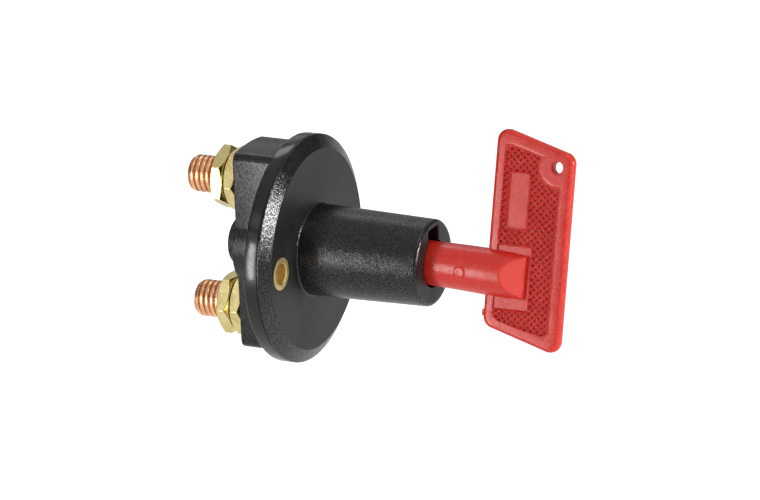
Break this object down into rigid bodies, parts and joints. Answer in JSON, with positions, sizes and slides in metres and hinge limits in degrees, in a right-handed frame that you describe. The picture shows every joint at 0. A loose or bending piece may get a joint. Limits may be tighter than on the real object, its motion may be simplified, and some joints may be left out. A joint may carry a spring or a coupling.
{
  "type": "battery isolator switch",
  "caption": "Panel-mounted battery isolator switch with a round flange, a long barrel, a removable flat key and two threaded terminal studs with nuts.",
  "frame": {"origin": "on the barrel's axis, in the plane of the flange's flat front face, at the panel", "axes": "-Y points along the barrel towards the key, +Y towards the terminal studs, +Z towards the upper stud and the slot in the barrel's mouth"},
  "size_m": [0.0604, 0.1061, 0.0658],
  "materials": {
    "black_moulding": "black glass-filled moulding, semi-gloss with a fine grain",
    "brass": "bright turned brass",
    "copper": "bright copper, thread rolled",
    "red_plastic": "glossy red moulded plastic with a knurled grip field",
    "nylon": "natural nylon, satin",
    "spring_steel": "bright drawn steel wire and sheet"
  },
  "bodies": {
    "housing": {"front_housing": "black_moulding", "rear_base": "black_moulding", "mounting_bush_left": "brass", "mounting_bush_right": "brass", "terminal_stud_upper": "copper", "terminal_stud_lower": "copper", "inner_nut_upper": "brass", "inner_nut_lower": "brass", "outer_nut_upper": "brass", "outer_nut_lower": "brass", "return_spring": "spring_steel"},
    "rotor": {"cam_rotor": "nylon"},
    "key": {"key": "red_plastic"},
    "contact": {"contact_carrier": "nylon", "contact_bridge": "copper", "contact_spring": "spring_steel", "pressure_washer": "spring_steel", "retaining_clip": "spring_steel"}
  },
  "joints": [
    {"name": "key_turn", "type": "hinge", "parent": "housing", "child": "rotor", "pos_m": [0, -0.02, 0], "axis": [0, 1, 0], "range_deg": [0, 90]},
    {"name": "key_pull", "type": "slide", "parent": "rotor", "child": "key", "axis": [0, -1, 0], "range_m": [0, 0.024]},
    {"name": "contact_travel", "type": "slide", "parent": "housing", "child": "contact", "axis": [0, 1, 0], "range_m": [0, 0.003], "deforming": ["return_spring"]}
  ],
  "couplings": [
    {"joint": "contact_travel", "follows": "key_turn", "m_per_rad": 0.0019098}
  ]
}
